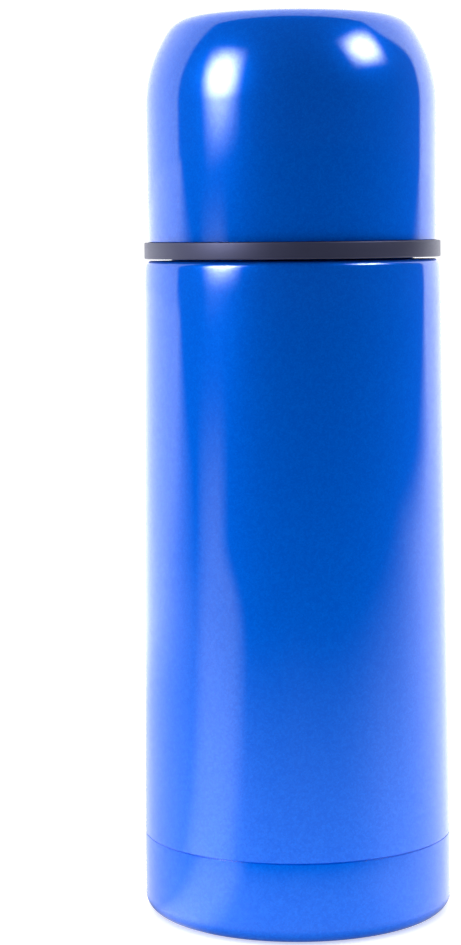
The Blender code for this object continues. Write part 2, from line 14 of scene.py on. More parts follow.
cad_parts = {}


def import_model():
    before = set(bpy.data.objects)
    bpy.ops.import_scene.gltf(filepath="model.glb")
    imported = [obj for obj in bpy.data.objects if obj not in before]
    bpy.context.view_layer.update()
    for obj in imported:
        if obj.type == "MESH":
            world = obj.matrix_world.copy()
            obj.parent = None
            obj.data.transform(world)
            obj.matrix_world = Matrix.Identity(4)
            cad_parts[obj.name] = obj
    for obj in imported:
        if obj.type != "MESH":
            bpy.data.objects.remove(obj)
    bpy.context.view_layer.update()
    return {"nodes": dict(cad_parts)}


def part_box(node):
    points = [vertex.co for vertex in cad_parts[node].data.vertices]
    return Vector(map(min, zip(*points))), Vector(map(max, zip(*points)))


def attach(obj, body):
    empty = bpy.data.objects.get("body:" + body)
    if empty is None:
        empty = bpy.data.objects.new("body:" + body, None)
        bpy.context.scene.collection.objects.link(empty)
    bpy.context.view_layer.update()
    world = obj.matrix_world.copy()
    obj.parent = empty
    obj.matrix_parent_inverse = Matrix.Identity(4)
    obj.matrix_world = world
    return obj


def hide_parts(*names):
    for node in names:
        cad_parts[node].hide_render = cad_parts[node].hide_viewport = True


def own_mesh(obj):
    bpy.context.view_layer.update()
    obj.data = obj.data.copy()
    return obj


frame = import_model()

MM = 0.001
SHEET = 0.5 * MM
GAP = 0.3 * MM
SEGMENTS = 160  # sides of the turned pieces
SMALL_SEGMENTS = 72  # the same for the small pieces inside the stopper
SHARP_ANGLE = math.radians(38.0)  # between faces; a sharper edge isn't shaded smooth

# ---------------------------------------------------------------- dimensions

shell_low, shell_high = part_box("outer_shell")
base_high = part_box("base_cup")[1]
ring_low, ring_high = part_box("cup_rim_ring")
cup_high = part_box("cup_shell")[1]
liner_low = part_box("cup_liner")[0]
vessel_low, vessel_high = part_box("inner_vessel")
collar_low, collar_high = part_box("neck_collar")
housing_low, housing_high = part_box("stopper_housing")
cover_low, cover_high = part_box("stopper_cover")
guide_low, guide_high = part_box("stem_guide")
button_low, button_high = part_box("push_button")
spring_low, spring_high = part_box("button_spring")
stem_low, stem_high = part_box("valve_stem")
disc_low, disc_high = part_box("valve_disc")
seal_low, seal_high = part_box("valve_seal")
gasket_low, gasket_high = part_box("cup_gasket")
seal_ring_low, seal_ring_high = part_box("stopper_seal_ring")
o_ring_low, o_ring_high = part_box("stem_o_ring")

SEAM_Z = shell_low.z
BODY_RADIUS_SEAM = shell_high.x
BODY_RADIUS_TOP = 33.07 * MM
SHOULDER_Z = 144.5 * MM
SHOULDER_ROUND = 1.5 * MM
SHOULDER_EASE = 6.5 * MM  # height of the gentle curve between the round and the straight wall
SHOULDER_TILT = 5.0  # degrees that the round stops short of upright
NECK_RADIUS = 27.0 * MM
BASE_RADIUS = base_high.x
BASE_CORNER = 3.5 * MM
SEAM_DEPTH = 0.14 * MM
SEAM_LAP = 0.08 * MM  # how near the groove's floor comes to the shell
FOOT_INNER = 27.8 * MM
FOOT_RECESS = 1.8 * MM
RING_TOP_Z = 148.49 * MM
RING_RADIUS = ring_high.x
SLEEVE_RADIUS = 31.2 * MM
RING_BORE = 29.9 * MM
RING_LINE = 0.08 * MM  # fine gap between the dome's edge and the ring
CUP_RADIUS_TOP = cup_high.x
CUP_RADIUS_RIM = 32.17 * MM
CROWN_RADIUS = 237.0 * MM
CORNER_RADIUS = 7.2 * MM
CHEEK_RADIUS = 30.0 * MM
CHEEK_ANGLE = math.radians(56.5)
LINER_OFFSET = 1.15 * MM
VESSEL_RADIUS = vessel_high.x
VESSEL_CORNER = 6.0 * MM
VESSEL_SHOULDER_Z = 134.0 * MM
VESSEL_SHOULDER_HEIGHT = 8.1 * MM
LAND_RADIUS = 23.2 * MM
LAND_TOP_Z = 146.0 * MM
LAND_SLOPE = 1.2 * MM  # height of the slope from the land to the wider mouth
MOUTH_RADIUS = 24.6 * MM
MOUTH_Z = vessel_high.z
COLLAR_RADIUS = 28.6 * MM
STOPPER_RADIUS = 23.3 * MM
STOPPER_LOW_RADIUS = 21.3 * MM
STOPPER_STEP_Z = LAND_TOP_Z + 1.6 * MM
BORE_RADIUS = 19.8 * MM
HEAD_RADIUS = 26.3 * MM
HEAD_LOW_Z = MOUTH_Z + GAP
HEAD_TOP_Z = housing_high.z
COVER_RADIUS = cover_high.x
BUTTON_RADIUS = button_high.x
STEM_RADIUS = 2.0 * MM
STEM_BORE = 2.3 * MM

RIDGE_STEPS = 72  # sections in one turn of a thread's ridge
RIDGE_FADE_STEPS = 7.0  # sections over which a ridge rises at each end
RIDGE_END = 0.12  # how far along that rise a ridge starts, as a share
RIDGE_ROOT = 0.35 * MM  # how deep a ridge is sunk into its wall
RIDGE_FOOT = 0.8 * MM  # half the ridge's width at the wall
RIDGE_SIDE = 0.375 * MM  # half its width at three quarters of its height
RIDGE_TOP = 0.15 * MM  # half its width at the crest
THREAD_START = math.radians(4.0)  # where every thread starts, round the axis
CUP_STARTS = 2
CUP_LEAD = 8.0 * MM
RING_RIDGE_CREST = 28.95 * MM
RING_RIDGE_Z = 146.6 * MM
COLLAR_RIDGE_CREST = 29.4 * MM
COLLAR_RIDGE_Z = 148.0 * MM
STOPPER_LEAD = 5.0 * MM
STOPPER_RIDGE_CREST = 24.2 * MM
STOPPER_RIDGE_Z = 150.5 * MM
MOUTH_RIDGE_CREST = 23.75 * MM
MOUTH_RIDGE_Z = 151.9 * MM

# ---------------------------------------------------------------- node helpers


class Nodes:
    """A node tree, with short calls for the nodes used here."""

    def __init__(self, tree):
        self.tree = tree

    def add(self, kind, inputs=None, **settings):
        node = self.tree.nodes.new(kind)
        for key, value in settings.items():
            setattr(node, key, value)
        for key, value in (inputs or {}).items():
            self.put(node.inputs[key], value)
        return node

    def put(self, socket, value):
        if isinstance(value, bpy.types.NodeSocket):
            self.tree.links.new(value, socket)
        else:
            socket.default_value = value

    def calc(self, operation, first, second=0.0):
        return self.add("ShaderNodeMath", {0: first, 1: second}, operation=operation).outputs[0]

    def chain(self, operation, first, *others):
        """One operation over all the values, from left to right."""
        for other in others:
            first = self.calc(operation, first, other)
        return first

    def total(self, *values):
        return self.chain("ADD", *values)

    def product(self, *values):
        return self.chain("MULTIPLY", *values)

    def ramp(self, value, start, end, low=0.0, high=1.0):
        """Smooth step from low to high as value goes from start to end."""
        inputs = {"Value": value, "From Min": start, "From Max": end, "To Min": low, "To Max": high}
        return self.add("ShaderNodeMapRange", inputs, interpolation_type="SMOOTHSTEP").outputs["Result"]

    def split(self, vector):
        return self.add("ShaderNodeSeparateXYZ", {"Vector": vector}).outputs

    def vector(self, operation, first, output, second=(0.0, 0.0, 0.0)):
        """Vector maths; output says which of the node's outputs is the result."""
        return self.add("ShaderNodeVectorMath", {0: first, 1: second}, operation=operation).outputs[output]

    def facing(self, direction, azimuth):
        """Cosine of the angle on the floor between a unit direction and an azimuth, right of the front."""
        angle = math.radians(azimuth)
        towards = (math.sin(angle), -math.cos(angle), 0.0)
        return self.vector("DOT_PRODUCT", direction, "Value", towards)

    def by_ray(self, mirrored, matt, seen):
        """One shader for mirroring rays, one for matt ones and one for what the camera sees itself."""
        path = self.add("ShaderNodeLightPath").outputs
        lit = self.add("ShaderNodeMixShader", {0: path["Is Diffuse Ray"], 1: mirrored, 2: matt})
        mix = self.add("ShaderNodeMixShader", {0: path["Is Camera Ray"], 1: lit.outputs[0], 2: seen})
        return mix.outputs[0]


class SurfaceNodes(Nodes):
    """A new material's tree."""

    def __init__(self, name):
        self.material = bpy.data.materials.new(name)
        self.material.use_nodes = True
        super().__init__(self.material.node_tree)
        self.shader = self.tree.nodes["Principled BSDF"]
        self.coordinates = self.add("ShaderNodeTexCoord").outputs["Object"]

    def set(self, **values):
        """Shader inputs by name, with _ for a space."""
        for key, value in values.items():
            self.put(self.shader.inputs[key.replace("_", " ")], value)

    def noise(self, scale, detail=2.0, vector=None):
        inputs = {"Vector": vector or self.coordinates, "Scale": scale, "Detail": detail}
        return self.add("ShaderNodeTexNoise", inputs).outputs["Fac"]

    def remap(self, value, low, high, start=0.3, end=0.7):
        inputs = {"Value": value, "From Min": start, "From Max": end, "To Min": low, "To Max": high}
        return self.add("ShaderNodeMapRange", inputs).outputs["Result"]

    def mix_color(self, factor, first, second):
        node = self.add("ShaderNodeMix", data_type="RGBA")
        self.put(node.inputs[0], factor)
        for socket, color in ((node.inputs[6], first), (node.inputs[7], second)):
            self.put(socket, (*color, 1.0) if isinstance(color, tuple) else color)
        return node.outputs[2]

    def bump(self, height, distance, strength=1.0):
        inputs = {"Height": height, "Distance": distance, "Strength": strength}
        return self.add("ShaderNodeBump", inputs).outputs["Normal"]

    def turned_coordinates(self, across, around):
        """Coordinates of radius, height and angle, so that a noise runs round the axis."""
        place = self.split(self.coordinates)
        flat = self.vector("MULTIPLY", self.coordinates, 0, (1.0, 1.0, 0.0))
        radius = self.vector("LENGTH", flat, "Value")
        angle = self.calc("ARCTAN2", place["Y"], place["X"])
        parts = {"X": (radius, across), "Y": (place["Z"], across), "Z": (angle, around)}
        scaled = {axis: self.product(value, scale) for axis, (value, scale) in parts.items()}
        return self.add("ShaderNodeCombineXYZ", scaled).outputs[0]


class WorldNodes(Nodes):
    """The tree of a new world."""

    def __init__(self, name):
        self.world = bpy.data.worlds.new(name)
        self.world.use_nodes = True
        super().__init__(self.world.node_tree)
        self.tree.nodes.clear()
        self.coordinates = self.add("ShaderNodeTexCoord").outputs["Generated"]

    def background(self, strength, color):
        return self.add("ShaderNodeBackground", {"Strength": strength, "Color": (*color, 1.0)}).outputs[0]


# ---------------------------------------------------------------- materials


def blue_paint():
    """Fine metallic paint under a clear coat."""
    m = SurfaceNodes("blue_paint")
    flakes = m.add("ShaderNodeTexVoronoi", {"Vector": m.coordinates, "Scale": 3000.0})
    sparkle = m.add("ShaderNodeSeparateColor", {"Color": flakes.outputs["Color"]}).outputs[0]
    cloud = m.noise(3200.0, 2.0)
    grain = m.remap(m.product(sparkle, cloud), 0.0, 1.0, 0.05, 0.6)
    m.set(Base_Color=m.mix_color(grain, (0.0, 0.124, 0.835), (0.0, 0.166, 0.935)), Metallic=0.1)
    m.set(Roughness=m.remap(cloud, 0.33, 0.40), Specular_IOR_Level=0.0)
    m.set(Normal=m.bump(sparkle, 0.00001, 0.25))
    m.set(Coat_Weight=m.remap(sparkle, 0.72, 1.0, 0.0, 1.0), Coat_IOR=1.53)
    m.set(Coat_Roughness=m.remap(cloud, 0.05, 0.08), Coat_Normal=m.bump(cloud, 0.000006, 0.35))
    return m.material


def brushed_steel():
    """Stainless steel with fine lines left by turning."""
    m = SurfaceNodes("brushed_steel")
    lines = m.noise(1.0, 4.0, m.turned_coordinates(across=9000.0, around=3.0))
    cloud = m.noise(60.0)
    m.set(Base_Color=m.mix_color(cloud, (0.60, 0.59, 0.57), (0.70, 0.69, 0.67)), Metallic=1.0)
    m.set(Roughness=m.remap(lines, 0.22, 0.38), Normal=m.bump(lines, 0.00001, 0.5), Anisotropic=0.4)
    return m.material


def polished_steel():
    """Smooth steel of the spring, the stem and the getter."""
    m = SurfaceNodes("polished_steel")
    cloud = m.noise(700.0)
    m.set(Base_Color=m.mix_color(cloud, (0.58, 0.58, 0.58), (0.68, 0.68, 0.67)), Metallic=1.0)
    m.set(Roughness=m.remap(cloud, 0.18, 0.3), Normal=m.bump(cloud, 0.00001, 0.3))
    return m.material


def plastic(name, first, second, low, high, sheen=(1.0, 1.0, 1.0)):
    """Moulded plastic with a fine matt texture, between two colours and from a low to a high roughness."""
    m = SurfaceNodes(name)
    texture = m.noise(3500.0, 2.0)
    cloud = m.noise(120.0)
    m.set(Base_Color=m.mix_color(cloud, first, second), Roughness=m.remap(texture, low, high))
    m.set(Normal=m.bump(texture, 0.00003, 0.4), Specular_IOR_Level=0.5, Specular_Tint=(*sheen, 1.0))
    return m.material


def grey_plastic():
    """Dark grey with bluish highlights."""
    colors = (0.042, 0.045, 0.084), (0.051, 0.055, 0.103)
    return plastic("grey_plastic", *colors, low=0.40, high=0.52, sheen=(0.52, 0.54, 1.0))


def black_plastic():
    """Nearly black."""
    colors = (0.014, 0.014, 0.016), (0.021, 0.021, 0.023)
    return plastic("black_plastic", *colors, low=0.35, high=0.5)


def silicone():
    """Pale, slightly cloudy rubber."""
    m = SurfaceNodes("silicone")
    texture = m.noise(1500.0)
    cloud = m.noise(90.0)
    m.set(Base_Color=m.mix_color(cloud, (0.66, 0.67, 0.66), (0.76, 0.77, 0.76)))
    m.set(Roughness=m.remap(texture, 0.45, 0.6), Normal=m.bump(texture, 0.00002, 0.4))
    m.set(Subsurface_Weight=0.15, Subsurface_Scale=0.002)
    return m.material


def copper(name, wrinkle):
    """Bare copper, with wrinkles of the given height."""
    m = SurfaceNodes(name)
    cloud = m.noise(150.0, 4.0)
    m.set(Base_Color=m.mix_color(cloud, (0.58, 0.25, 0.13), (0.78, 0.38, 0.23)), Metallic=1.0)
    m.set(Roughness=m.remap(cloud, 0.22, 0.42), Normal=m.bump(cloud, wrinkle, 0.6))
    return m.material


# ---------------------------------------------------------------- mesh helpers


def arc(center, radius, start, end, steps=10):
    """Points (r, z) on a circle; degrees, 0 along +r and 90 along +Z. A pair as radius is an ellipse."""
    across, along = radius if isinstance(radius, tuple) else (radius, radius)
    points = []
    for step in range(steps + 1):
        angle = math.radians(start + (end - start) * step / steps)
        points.append((center[0] + across * math.cos(angle), center[1] + along * math.sin(angle)))
    return points


def eased(profile, radius, steps=3, corner=25.0):
    """The closed profile with each corner sharper than corner degrees rounded.

    The round is smaller where an edge is short. Points on the axis stay.
    """
    tiny = 1e-9
    most = 0.45  # share of an edge that the round at one of its ends may take
    count = len(profile)
    out = []
    for index, point in enumerate(profile):
        here = Vector(point)
        before = Vector(profile[index - 1])
        after = Vector(profile[(index + 1) % count])
        back, on = before - here, after - here
        if here.x == 0.0 or back.length < tiny or on.length < tiny:
            out.append(point)
            continue
        turn = 180.0 - math.degrees(back.angle(on))
        if turn < corner:
            out.append(point)
            continue
        reach = min(radius * math.tan(math.radians(turn) / 2), most * back.length, most * on.length)
        first, last = here + reach * back.normalized(), here + reach * on.normalized()
        for step in range(steps + 1):
            t = step / steps
            curve = (1 - t) ** 2 * first + 2 * t * (1 - t) * here + t * t * last
            out.append((curve.x, curve.y))
    return out


def turned_mesh(name, profile, segments):
    """Spins a profile (r, z) about +Z: down its outer side, up its inner one."""
    on_axis = profile[0][0] == 0.0 and profile[-1][0] == 0.0
    count = len(profile)
    edges = [(i, (i + 1) % count) for i in range(count - 1 if on_axis else count)]
    outline = bpy.data.meshes.new(name + "_outline")
    outline.from_pydata([(r, 0.0, z) for r, z in profile], edges, [])
    obj = scene_object(name, outline)
    screw = obj.modifiers.new("turn", "SCREW")
    screw.angle = math.tau
    screw.steps = segments
    screw.render_steps = segments
    screw.use_merge_vertices = True
    screw.merge_threshold = 0.000001
    return applied(obj)


def applied(obj):
    """Applies the object's modifiers to a new mesh."""
    graph = bpy.context.evaluated_depsgraph_get()
    mesh = bpy.data.meshes.new_from_object(obj.evaluated_get(graph))
    mesh.name = obj.name
    old = obj.data
    obj.modifiers.clear()
    obj.data = mesh
    bpy.data.meshes.remove(old)
    return obj


def boolean(obj, others, operation):
    """Joins the others to the object or cuts them from it, and removes them."""
    for other in others:
        modifier = obj.modifiers.new(other.name, "BOOLEAN")
        modifier.operation = operation
        modifier.solver = "EXACT"
        modifier.object = other
    applied(obj)
    for other in others:
        bpy.data.objects.remove(other)


def scene_object(name, data):
    """A new object in the scene."""
    obj = bpy.data.objects.new(name, data)
    bpy.context.scene.collection.objects.link(obj)
    return obj


def mesh_object(name, bm):
    """A new object from a bmesh, which is freed."""
    bmesh.ops.recalc_face_normals(bm, faces=bm.faces)
    mesh = bpy.data.meshes.new(name)
    bm.to_mesh(mesh)
    bm.free()
    return scene_object(name, mesh)


def thread_ridge(name, root, crest, start_z, lead, turns, phase=THREAD_START):
    """One right-handed helical ridge with a rounded section, which fades out at both ends."""
    outward = 1.0 if crest > root else -1.0
    buried = root - outward * RIDGE_ROOT
    steps = round(turns * RIDGE_STEPS)
    bm = bmesh.new()
    sections = []
    for step in range(steps + 1):
        turn = step / RIDGE_STEPS
        fade = min(1.0, RIDGE_END + min(step, steps - step) / RIDGE_FADE_STEPS)
        height = (crest - root) * math.sin(fade * math.pi / 2)
        middle = start_z + lead * turn
        outline = [(buried, -RIDGE_FOOT), (root, -RIDGE_FOOT)]
        outline += [(root + 0.75 * height, -RIDGE_SIDE), (root + height, -RIDGE_TOP)]
        outline += [(root + height, RIDGE_TOP), (root + 0.75 * height, RIDGE_SIDE)]
        outline += [(root, RIDGE_FOOT), (buried, RIDGE_FOOT)]
        radial = Matrix.Rotation(phase + math.tau * turn, 4, "Z")
        sections.append([bm.verts.new(radial @ Vector((r, 0.0, middle + z))) for r, z in outline])
    around = len(sections[0])
    for one, two in zip(sections, sections[1:]):
        for i in range(around):
            bm.faces.new((one[i], one[(i + 1) % around], two[(i + 1) % around], two[i]))
    bm.faces.new(sections[0])
    bm.faces.new(sections[-1])
    return mesh_object(name, bm)


def cup_ridges(name, root, crest, start_z, turns):
    """The ridges of the cup's thread, one for each start."""
    ridges = []
    for start in range(CUP_STARTS):
        phase = math.tau * start / CUP_STARTS + THREAD_START
        ridges.append(thread_ridge(f"{name}_{start}", root, crest, start_z, CUP_LEAD, turns, phase))
    return ridges


def upright_cylinders(name, count, radius, at_radius, low, high, stretch=1.0, first=0.0, sides=32):
    """Cylinders round the axis, for cutting; stretch makes them ovals, longer along Y."""
    made = []
    for index in range(count):
        angle = first + math.tau * index / count
        bm = bmesh.new()
        bmesh.ops.create_cone(
            bm,
            cap_ends=True,
            segments=sides,
            radius1=radius,
            radius2=radius,
            depth=high - low,
            matrix=Matrix.Translation((at_radius * math.cos(angle), 0.0, (low + high) / 2)),
        )
        for vertex in bm.verts:
            vertex.co.y = vertex.co.y * stretch + at_radius * math.sin(angle)
        made.append(mesh_object(f"{name}_{index}", bm))
    return made


def coat(obj, surface):
    """Gives the object one material all over."""
    obj.data.materials.clear()
    obj.data.materials.append(surface)


def finished(obj, node, body, surface):
    """Gives the piece its material and body, in place of the plain solid."""
    coat(obj, surface)
    obj.data.shade_smooth()
    obj.data.set_sharp_from_angle(angle=SHARP_ANGLE)
    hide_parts(node)
    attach(obj, body)
    return obj


# ---------------------------------------------------------------- painted body


def shoulder(inset):
    """The round of the shoulder and the gentle curve under it, moved in by inset."""
    drop = math.radians(SHOULDER_TILT) * SHOULDER_EASE / 3
    center = (BODY_RADIUS_TOP - drop - SHOULDER_ROUND, SHOULDER_Z - SHOULDER_ROUND)
    points = arc(center, SHOULDER_ROUND - inset, 90, SHOULDER_TILT)
    start_z = points[-1][1]
    cone = (BODY_RADIUS_SEAM - BODY_RADIUS_TOP) / (center[1] - SEAM_Z)
    steps = 12
    for step in range(1, steps + 1):
        share = step / steps
        z = start_z - share * SHOULDER_EASE
        points.append((BODY_RADIUS_TOP + cone * (center[1] - z) - drop * (1 - share) ** 3 - inset, z))
    return points


def outer_shell():
    """Painted wall of the body, from the seam to the neck."""
    inner_neck = NECK_RADIUS - SHEET
    neck_top = shell_high.z
    profile = [(NECK_RADIUS, neck_top), (NECK_RADIUS, SHOULDER_Z)] + shoulder(0.0)
    profile += [(BODY_RADIUS_SEAM, SEAM_Z), (BODY_RADIUS_SEAM - SHEET, SEAM_Z)]
    profile += list(reversed(shoulder(SHEET)))
    profile += [(inner_neck, SHOULDER_Z - SHEET), (inner_neck, neck_top)]
    return turned_mesh("body_shell", eased(profile, radius=0.12 * MM), SEGMENTS)


def base_cup():
    """Painted cup below the seam, whose lip goes up inside the shell."""
    seam = SEAM_Z - GAP
    groove = SEAM_Z - SEAM_LAP
    inner = BASE_RADIUS - SHEET
    lip_outer = BODY_RADIUS_SEAM - SHEET - GAP
    lip_inner = lip_outer - SHEET
    center = (BASE_RADIUS - BASE_CORNER, BASE_CORNER)
    recess = FOOT_INNER - FOOT_RECESS
    profile = [(0.0, FOOT_RECESS + SHEET), (recess, FOOT_RECESS + SHEET), (FOOT_INNER + SHEET, SHEET)]
    profile += arc(center, BASE_CORNER - SHEET, 270, 360)
    profile += [(inner, seam - 2 * SHEET), (lip_inner, seam - SHEET), (lip_inner, base_high.z)]
    profile += [(lip_outer, base_high.z), (lip_outer, groove), (BASE_RADIUS - SEAM_DEPTH, groove)]
    profile += [(BASE_RADIUS - SEAM_DEPTH, seam), (BASE_RADIUS, seam)]
    profile += arc(center, BASE_CORNER, 0, -90)
    profile += [(FOOT_INNER, 0.0), (recess, FOOT_RECESS), (0.0, FOOT_RECESS)]
    return turned_mesh("base", eased(profile, radius=0.04 * MM), SEGMENTS)


# ---------------------------------------------------------------- cup


def cup_wall(inset, rim_z):
    """Half-outline of the dome moved in by inset, from the middle of the crown to the rim."""
    run = CUP_RADIUS_TOP - CHEEK_RADIUS + (CHEEK_RADIUS - CORNER_RADIUS) * math.sin(CHEEK_ANGLE)
    crown_angle = math.asin(run / (CROWN_RADIUS - CORNER_RADIUS))
    crown_center = Vector((0.0, cup_high.z - CROWN_RADIUS))
    corner_center = crown_center + (CROWN_RADIUS - CORNER_RADIUS) * Vector(
        (math.sin(crown_angle), math.cos(crown_angle))
    )
    cheek_center = corner_center - (CHEEK_RADIUS - CORNER_RADIUS) * Vector(
        (math.sin(CHEEK_ANGLE), math.cos(CHEEK_ANGLE))
    )
    crown_slope = 90 - math.degrees(crown_angle)
    cheek_slope = 90 - math.degrees(CHEEK_ANGLE)
    points = arc(crown_center, CROWN_RADIUS - inset, 90, crown_slope, 8)
    points += arc(corner_center, CORNER_RADIUS - inset, crown_slope, cheek_slope, 12)[1:]
    points += arc(cheek_center, CHEEK_RADIUS - inset, cheek_slope, 0, 16)[1:]
    points.append((CUP_RADIUS_RIM - inset, rim_z))
    points[0] = (0.0, points[0][1])
    return points


def cup_shell():
    """Painted dome."""
    rim = RING_TOP_Z + RING_LINE
    profile = cup_wall(0.0, rim) + list(reversed(cup_wall(SHEET, rim)))
    return turned_mesh("cup_dome", eased(profile, radius=0.12 * MM), SEGMENTS)


def cup_liner():
    """Steel lining inside the dome."""
    rim = liner_low.z
    profile = cup_wall(LINER_OFFSET, rim) + list(reversed(cup_wall(LINER_OFFSET + SHEET, rim)))
    return turned_mesh("cup_lining", eased(profile, radius=0.15 * MM), SEGMENTS)


def cup_rim_ring():
    """Ring at the cup's rim, with a sleeve up inside the dome and the cup's thread in its bore."""
    seat_depth, sleeve_wall = 2.1 * MM, 0.45 * MM
    seat_z = ring_high.z - seat_depth
    seat_radius = SLEEVE_RADIUS - sleeve_wall
    profile = [(SLEEVE_RADIUS, ring_high.z), (SLEEVE_RADIUS, RING_TOP_Z), (RING_RADIUS, RING_TOP_Z)]
    profile += [(RING_RADIUS, ring_low.z), (RING_BORE, ring_low.z), (RING_BORE, seat_z)]
    profile += [(seat_radius, seat_z), (seat_radius, ring_high.z)]
    obj = turned_mesh("rim_ring", eased(profile, radius=0.3 * MM, steps=4), SEGMENTS)
    ridges = cup_ridges("ring_ridge", RING_BORE, RING_RIDGE_CREST, RING_RIDGE_Z, turns=0.5)
    boolean(obj, ridges, "UNION")
    return obj


def washer(inner, outer, low, high):
    """Profile of a flat ring."""
    return [(inner, high), (outer, high), (outer, low), (inner, low)]


def cup_gasket():
    """Seal that the cup's ring presses on the collar."""
    profile = washer(29.0 * MM, gasket_high.x, gasket_low.z, gasket_high.z)
    return turned_mesh("cup_gasket_ring", eased(profile, radius=0.6 * MM, steps=5), SEGMENTS)


# ---------------------------------------------------------------- vessel and collar


def vessel_wall(inset):
    """Half-outline of the vessel moved in by inset, from the middle of its floor to its mouth."""
    radius = VESSEL_RADIUS - inset
    bend = (VESSEL_RADIUS - VESSEL_CORNER, vessel_low.z + VESSEL_CORNER)
    land = LAND_RADIUS + SHEET - inset
    mouth = MOUTH_RADIUS + SHEET - inset
    points = [(0.0, vessel_low.z + inset)]
    points += arc(bend, VESSEL_CORNER - inset, 270, 360)
    points += arc((land, VESSEL_SHOULDER_Z), (radius - land, VESSEL_SHOULDER_HEIGHT - inset), 0, 90, 16)
    points += [(land, LAND_TOP_Z), (mouth, LAND_TOP_Z + LAND_SLOPE)]
    return points


def inner_vessel():
    """Steel vessel with the stopper's thread in its mouth and a lip welded to the shell's neck."""
    lip_low = MOUTH_Z - SHEET
    flare = 0.4 * MM
    profile = vessel_wall(SHEET)
    profile += [(MOUTH_RADIUS, lip_low), (MOUTH_RADIUS + flare, MOUTH_Z), (NECK_RADIUS, MOUTH_Z)]
    profile += [(NECK_RADIUS, lip_low), (MOUTH_RADIUS + SHEET, lip_low)]
    profile += list(reversed(vessel_wall(0.0)))
    obj = turned_mesh("vessel", eased(profile, radius=0.3 * MM), SEGMENTS)
    ridge = thread_ridge(
        "mouth_ridge", MOUTH_RADIUS, MOUTH_RIDGE_CREST, MOUTH_RIDGE_Z, STOPPER_LEAD, turns=1.0
    )
    boolean(obj, [ridge], "UNION")
    return obj


def neck_collar():
    """Collar round the neck, with the outer thread for the cup."""
    profile = washer(NECK_RADIUS + GAP, COLLAR_RADIUS, collar_low.z, collar_high.z)
    obj = turned_mesh("collar", eased(profile, radius=0.35 * MM, steps=4), SEGMENTS)
    ridges = cup_ridges("collar_ridge", COLLAR_RADIUS, COLLAR_RIDGE_CREST, COLLAR_RIDGE_Z, turns=0.75)
    boolean(obj, ridges, "UNION")
    return obj


# ---------------------------------------------------------------- stopper


def stopper_housing():
    """Plug with its thread, the seal ring's groove, a hole in its floor and grip notches in its head."""
    wall = STOPPER_LOW_RADIUS
    hole = 8.0 * MM
    floor_z = housing_low.z + 2.0 * MM
    groove, groove_low, groove_high = wall - 0.9 * MM, 142.0 * MM, 144.6 * MM
    ledge = BORE_RADIUS - 1.5 * MM
    ledge_z = guide_low.z - GAP
    profile = [(BORE_RADIUS, HEAD_TOP_Z), (HEAD_RADIUS, HEAD_TOP_Z), (HEAD_RADIUS, HEAD_LOW_Z)]
    profile += [(STOPPER_RADIUS, HEAD_LOW_Z), (STOPPER_RADIUS, STOPPER_STEP_Z), (wall, STOPPER_STEP_Z - MM)]
    profile += [(wall, groove_high), (groove, groove_high), (groove, groove_low), (wall, groove_low)]
    profile += [(wall, housing_low.z), (hole, housing_low.z), (hole, floor_z), (ledge, floor_z)]
    profile += [(ledge, ledge_z), (BORE_RADIUS, ledge_z)]
    obj = turned_mesh("stopper_body", eased(profile, radius=0.35 * MM, steps=4), SEGMENTS)
    ridge = thread_ridge(
        "stopper_ridge", STOPPER_RADIUS, STOPPER_RIDGE_CREST, STOPPER_RIDGE_Z, STOPPER_LEAD, turns=1.0
    )
    boolean(obj, [ridge], "UNION")
    notch, notch_at = 2.2 * MM, HEAD_RADIUS + 1.5 * MM
    notches = upright_cylinders("notch", 12, notch, notch_at, HEAD_LOW_Z - MM, HEAD_TOP_Z + MM)
    boolean(obj, notches, "DIFFERENCE")
    return obj


def stopper_cover():
    """Cap of the plug, with a skirt in its bore, the button's hole and two pouring slots."""
    low = HEAD_TOP_Z + GAP
    hole = BUTTON_RADIUS + GAP
    skirt = BORE_RADIUS - GAP
    skirt_inner = skirt - 1.2 * MM
    profile = [(hole, cover_high.z), (COVER_RADIUS, cover_high.z), (COVER_RADIUS, low), (skirt, low)]
    profile += [(skirt, cover_low.z), (skirt_inner, cover_low.z), (skirt_inner, low), (hole, low)]
    obj = turned_mesh("stopper_cap", eased(profile, radius=0.7 * MM, steps=5), SEGMENTS)
    slot, slot_at = 1.6 * MM, 14.8 * MM
    slots = upright_cylinders("slot", 2, slot, slot_at, low - MM, cover_high.z + MM, stretch=3.0)
    boolean(obj, slots, "DIFFERENCE")
    return obj


def stopper_seal_ring():
    """Seal in the plug's groove, round on its outer side."""
    inner = STOPPER_LOW_RADIUS - 0.6 * MM
    middle = (seal_ring_low.z + seal_ring_high.z) / 2
    half = 1.0 * MM
    profile = arc((seal_ring_high.x - half, middle), half, 90, -90, 12)
    profile += [(inner, middle - half), (inner, middle + half)]
    return turned_mesh("plug_seal_ring", profile, SEGMENTS)


def stem_guide():
    """Disc across the plug, with a hub for the stem, a pocket for its O-ring and windows for the drink."""
    outer, hub, pocket = guide_high.x, 4.8 * MM, 4.2 * MM
    top = guide_low.z + 2.3 * MM
    pocket_top = guide_low.z + 1.9 * MM
    profile = [(STEM_BORE, guide_high.z), (hub, guide_high.z), (hub, top), (outer, top)]
    profile += [(outer, guide_low.z), (pocket, guide_low.z), (pocket, pocket_top), (STEM_BORE, pocket_top)]
    obj = turned_mesh("guide", eased(profile, radius=0.3 * MM), SMALL_SEGMENTS)
    window, window_at = 3.0 * MM, 13.0 * MM
    windows = upright_cylinders("window", 4, window, window_at, guide_low.z - MM, top + MM, first=0.4)
    boolean(obj, windows, "DIFFERENCE")
    return obj


def stem_o_ring():
    """O-ring round the stem."""
    ring = (o_ring_high.z - o_ring_low.z) / 2
    center = (STEM_RADIUS + GAP + ring, o_ring_low.z + ring)
    return turned_mesh("stem_seal", arc(center, ring, 90, -270, 24)[:-1], SMALL_SEGMENTS)


